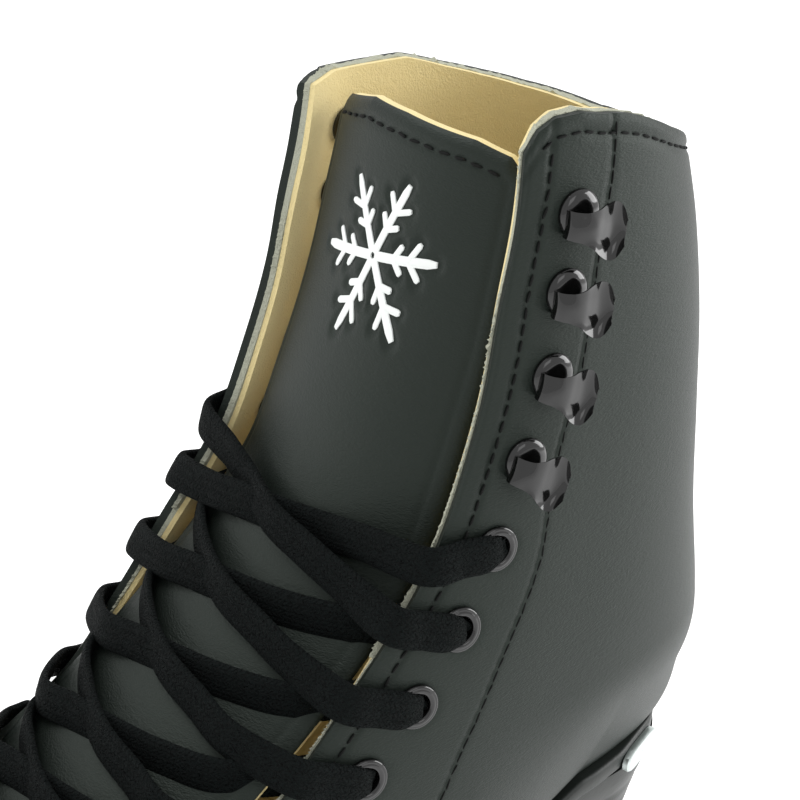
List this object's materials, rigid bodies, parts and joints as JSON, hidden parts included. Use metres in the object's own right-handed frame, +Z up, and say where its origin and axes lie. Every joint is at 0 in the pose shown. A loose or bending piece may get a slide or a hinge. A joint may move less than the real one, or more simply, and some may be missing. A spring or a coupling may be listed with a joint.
{
  "type": "figure skate, left foot",
  "caption": "Black lace-up figure skate with padded tan lining, flat laces, open hooks, stacked heel and a steel blade with toe picks",
  "frame": {"origin": "on the ice under the back of the heel, in the middle plane of the blade", "axes": "+X from heel to toe, +Y to the outer side of this left boot, +Z up"},
  "size_m": [0.2969, 0.1002, 0.2822],
  "materials": {
    "upper_leather": "fine grained black synthetic leather, low sheen",
    "lining": "tan brushed microfibre",
    "foam": "white foam with a fibrous cut edge",
    "lace": "flat braided black cotton",
    "hardware_black": "glossy black enamel",
    "emblem_white": "white filled embossing",
    "sole_leather": "black lacquered leather sole and stacked heel",
    "heel_rubber": "black rubber lift",
    "board": "pressed fibre board",
    "blade_steel": "polished nickel plated steel",
    "screw_steel": "bright zinc",
    "aglet": "black plastic lace tip"
  },
  "bodies": {
    "boot": {"facing_left": "upper_leather", "facing_right": "upper_leather", "quarter_left": "upper_leather", "quarter_right": "upper_leather", "foam_left": "foam", "foam_right": "foam", "lining_left": "lining", "lining_right": "lining", "backstay": "upper_leather", "heel_counter": "board", "vamp": "upper_leather", "vamp_lining": "lining", "toe_puff": "board", "tongue_lower": "upper_leather", "tongue_lower_lining": "lining", "outsole": "sole_leather", "insole_board": "board", "insole": "lining", "heel": "sole_leather", "heel_lift": "heel_rubber", "heel_badge": "blade_steel", "heel_plate": "blade_steel", "sole_plate": "blade_steel", "heel_screws": "screw_steel", "sole_screws": "screw_steel", "runner": "blade_steel", "front_stanchion": "blade_steel", "rear_stanchion": "blade_steel", "eyelets_left": "hardware_black", "eyelets_right": "hardware_black", "eyelet_washers_left": "hardware_black", "eyelet_washers_right": "hardware_black", "hooks_left": "hardware_black", "hooks_right": "hardware_black", "hook_rivets_left": "hardware_black", "hook_rivets_right": "hardware_black", "lace": "lace", "aglets": "aglet"},
    "tongue_top": {"tongue_upper": "upper_leather", "tongue_upper_lining": "lining", "tongue_emblem": "emblem_white"}
  },
  "joints": [
    {"name": "tongue_fold", "type": "hinge", "parent": "boot", "child": "tongue_top", "pos_m": [0.108, 0, 0.2006], "axis": [0, -1, 0], "range_deg": [-25, 15], "stiffness_Nm_per_rad": 0.15}
  ]
}
